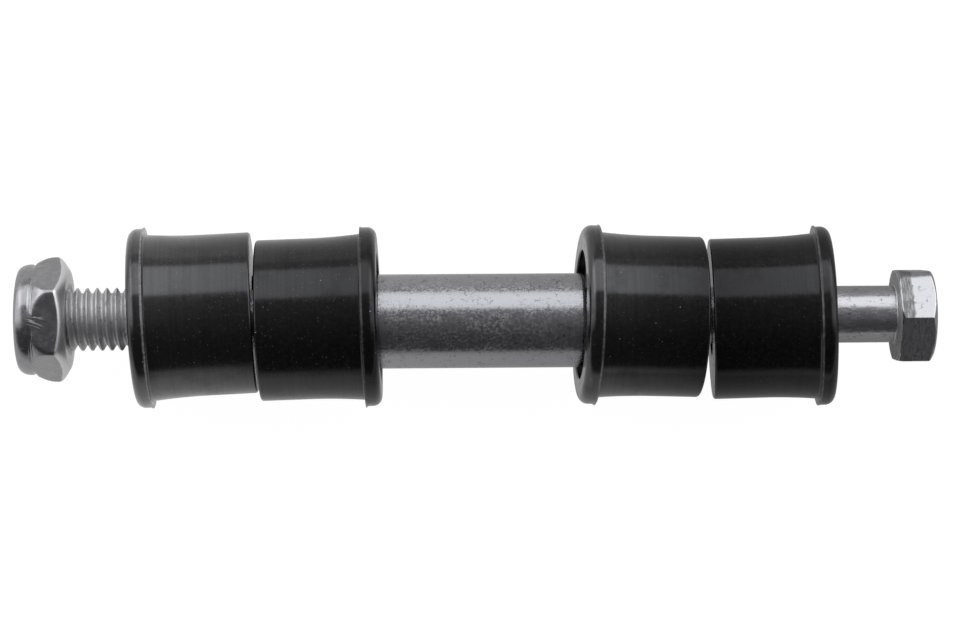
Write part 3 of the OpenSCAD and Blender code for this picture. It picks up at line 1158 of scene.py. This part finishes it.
@dataclass
class Studio:
    """The white table, the softbox, the surround and the camera.

    Attributes:
        target: Point that the camera looks at, in millimetres.
        distance: Distance of the camera from it.
        tilt: Turn of the view about +Y, in degrees.
        roll: Turn of the picture, in degrees.
        lens: Focal length on a sensor 36 mm wide.
        box_angle: Angle of the softbox from straight above towards +Y, in degrees.
        box_reach: Distance of the softbox, in metres.
        box_size: Length along the bolt and width of the softbox, in metres.
        box_light: Brightness of the softbox, where 1 is white.
        box_colour: Colour of the softbox.
        wall: Brightness of the walls near the table.
        side: Brightness of the taller walls beyond the two ends of the bolt.
        ceiling: Brightness of the ceiling away from the softbox.
        spill: Brightness of the ceiling beside the softbox.
        sky_colour: Colour of walls and ceiling.
        table_half: Half of the table's width, in metres.
        seen_light: Brightness of the white that the camera sees on the table.
        seen_white: Share of that white; the rest is paper, which takes the link's shadow.
        mirrored_white: Brightness of the table's reflections under the nut's end and under the head's.
        mirrored_reach: Distance of these two places from the middle, in metres.
        mirrored_share: Share of that brightness in the reflections; the rest is paper.
    """

    target: tuple[float, float, float] = (0.52, -0.51, 0.0)
    distance: float = 437.2
    tilt: float = 1.3
    roll: float = 0.39
    lens: float = 105.75
    box_angle: float = 53.0
    box_reach: float = 0.7
    box_size: tuple[float, float] = (1.6, 0.575)
    box_light: float = 1.42
    box_colour: Colour = (0.95, 0.965, 1.0)
    wall: float = 0.55
    side: float = 1.6
    ceiling: float = 0.078
    spill: float = 0.36
    sky_colour: Colour = (0.97, 0.955, 1.0)
    table_half: float = 3.0
    seen_light: float = 1.085
    seen_white: float = 0.9
    mirrored_white: tuple[float, float] = (0.86, 0.3)
    mirrored_reach: float = 0.06
    mirrored_share: float = 0.75

    def camera(self) -> None:
        """Puts the camera where the photograph was taken from."""
        t, r = np.radians(self.tilt), np.radians(self.roll)
        right, up = np.array([np.cos(t), 0.0, np.sin(t)]), np.array([0.0, 1.0, 0.0])
        back = np.array([-np.sin(t), 0.0, np.cos(t)])
        axes = [np.cos(r) * right - np.sin(r) * up, np.sin(r) * right + np.cos(r) * up, back]
        place = Matrix(np.stack(axes, 1).tolist()).to_4x4()
        place.translation = (np.array(self.target) + self.distance * back) * MM
        data = bpy.data.cameras.new("camera")
        data.lens, data.sensor_width, data.clip_start = self.lens, 36.0, 0.01
        camera = link("camera", data)
        camera.matrix_world = place
        bpy.context.scene.camera = camera

    def softbox(self) -> None:
        """Hangs the softbox; its power is brightness times pi times area."""
        data = bpy.data.lights.new("softbox", "AREA")
        data.shape, (data.size, data.size_y) = "RECTANGLE", self.box_size
        data.energy, data.color = self.box_light * np.pi * data.size * data.size_y, self.box_colour
        lamp = link("softbox", data)
        angle = np.radians(self.box_angle)
        lamp.location = (0.0, self.box_reach * np.sin(angle), self.box_reach * np.cos(angle))
        lamp.rotation_euler = (-angle, 0.0, 0.0)

    def table(self) -> None:
        """Lays the white table under the link; it shows white to the camera and keeps the link's shadow."""
        half, level = self.table_half, CAD_BOX[0][2]
        corners = np.array([[-half, -half], [half, -half], [half, half], [-half, half]])
        mesh = bpy.data.meshes.new("table")
        mesh.from_pydata(np.column_stack([corners, np.full(4, level)]).tolist(), [], [(0, 1, 2, 3)])
        table = link("table", mesh)
        material, graph = start_material("white_table")
        path = graph.add("LightPath")
        seen = graph.math("MAXIMUM", path.outputs["Is Camera Ray"], path.outputs["Is Transmission Ray"])
        along = graph.add("SeparateXYZ", {0: graph.add("TexCoord").outputs["Object"]}).outputs[0]
        ends = -self.mirrored_reach, self.mirrored_reach
        strength = graph.mix(seen, graph.spread(along, *self.mirrored_white, *ends), self.seen_light)
        share = graph.math("MAXIMUM", graph.times(seen, self.seen_white),
                           graph.times(path.outputs["Is Glossy Ray"], self.mirrored_share))
        paper = graph.add("BsdfDiffuse", {"Color": (0.8, 0.8, 0.8, 1.0)})
        white = graph.add("Emission", {"Color": (1.0, 1.0, 1.0, 1.0), "Strength": strength})
        mix = graph.add("MixShader", {0: share, 1: paper.outputs[0], 2: white.outputs[0]})
        graph.add("OutputMaterial", {"Surface": mix.outputs[0]})
        mesh.materials.append(material)

    def surround(self) -> None:
        """Pale walls under a dark ceiling that the softbox lights on its side; the camera sees plain white.

        Each zone starts and ends at set parts of a direction: the lit ceiling along Y, all of the ceiling
        along Z, the end walls along X, and the end walls' fading towards the front along Y.
        """
        world = bpy.data.worlds.new("surround")
        world.use_nodes = True
        bpy.context.scene.world = world
        graph = Graph(world.node_tree)
        way = graph.add("SeparateXYZ", {0: graph.add("TexCoord").outputs["Generated"]})
        lit, upper, end, front = (-0.75, 0.5), (0.1, 0.22), (0.3, 0.65), (-0.3, 0.0)
        slope = graph.math("POWER", graph.spread(way.outputs[1], 0.0, 1.0, *lit), 1.5)
        above = graph.spread(slope, self.ceiling, self.spill)
        rise = graph.spread(way.outputs[2], 0.0, 1.0, *upper)
        drop = graph.times(graph.math("SUBTRACT", above, self.wall), rise)
        ends = graph.spread(graph.math("ABSOLUTE", way.outputs[0]), 0.0, self.side, *end)
        ends = graph.times(ends, graph.spread(way.outputs[1], 0.0, 1.0, *front))
        level = graph.math("MAXIMUM", graph.math("ADD", drop, self.wall), ends)
        seen = graph.add("LightPath").outputs["Is Camera Ray"]
        colour = graph.blend(seen, self.sky_colour, (1.0, 1.0, 1.0))
        strength = graph.math("MAXIMUM", level, seen)
        background = graph.add("Background", {"Color": colour, "Strength": strength})
        graph.add("OutputWorld", {"Surface": background.outputs[0]})

    def build(self) -> None:
        """Sets up the whole studio."""
        bpy.context.scene.view_settings.view_transform = "Standard"
        self.camera()
        self.softbox()
        self.table()
        self.surround()


# Place of the nick along the bolt, on the nut's shoulder
NICK_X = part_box("locking_nut")[1][0] / MM - 4.5
BOLT_ZINC = ZincFinish("bolt_zinc", (0.43, 0.43, 0.435), (0.47, 0.47, 0.475), (0.6, 0.6, 0.6),
                       smooth=0.19, haze=0.34, rough=0.58, flake_stretch=0.35, pit_share=0.7,
                       stroke_stretch=0.4, band=(65.2, 67.0))
NUT_ZINC = ZincFinish("nut_zinc", (0.275, 0.275, 0.279), (0.315, 0.315, 0.319), (0.7, 0.7, 0.7),
                      smooth=0.2, haze=0.29, rough=0.42, relief=0.002, flake_scale=1.2, pit_share=0.06,
                      stroke_level=0.2, stroke_stretch=2.5, stroke_colour=(0.75, 0.75, 0.75),
                      nick=(NICK_X, 39.6, 8.5))
SLEEVE_ZINC = ZincFinish("sleeve_zinc", (0.34, 0.34, 0.352), (0.41, 0.41, 0.423), (0.35, 0.35, 0.35),
                         smooth=0.17, haze=0.44, rough=0.5, relief=0.003, flake_scale=2.8, pit_share=0.5)
RUBBERS = {
    Place.NUT_END_OUTER: RubberFinish("dusty_rubber", (0.36, 0.15), 1.45, smooth=0.19, dusty=1.0, torn=0.6),
    Place.NUT_END_INNER: RubberFinish("streaked_rubber", (0.055, 0.15), 1.35, smooth=0.17, dusty=1.0,
                                      torn=0.15),
    Place.HEAD_END_INNER: RubberFinish("rubbed_rubber", (0.36, 0.01), 1.36, smooth=0.13, dusty=0.6, torn=0.3),
    Place.HEAD_END_OUTER: RubberFinish("clean_rubber", (0.14, 0.02), 1.3, smooth=0.12, dusty=0.4, torn=0.3)}
NYLON = PlainFinish("nylon", (0.72, 0.72, 0.7), (0.6, 0.6, 0.57), 0.0, 0.45)
# The washers' near-black colour is painted shade for the inside of the bushes' recesses, where they sit.
WASHER_PAINTED_SHADE = PlainFinish("washer_steel", (0.16, 0.16, 0.16), (0.07, 0.07, 0.07), 1.0, 0.5)


def dress_cad(node: str, finish: PlainFinish) -> None:
    """Gives a CAD node that keeps its shape its finish.

    Args:
        node: Name of the node.
        finish: The finish.
    """
    mesh = frame["nodes"][node].data
    mesh.materials.clear()
    mesh.materials.append(finish.material())


def main() -> None:
    """Builds every piece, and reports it."""
    logging.basicConfig(level=logging.INFO, format="%(message)s")
    Studio().build()
    pieces = [Bolt(BOLT_ZINC).build(), LockingNut(NUT_ZINC).build(), Sleeve(SLEEVE_ZINC).build()]
    pieces += [Bush(place, RUBBERS[place]).build() for place in Place]
    dress_cad("locking_ring", NYLON)
    for place in Place:
        dress_cad(place.washer, WASHER_PAINTED_SHADE)
    for piece in pieces:
        LOG.info("%s: %d vertices, %d faces", piece.name, len(piece.data.vertices), len(piece.data.polygons))


if __name__ == "__main__":
    main()
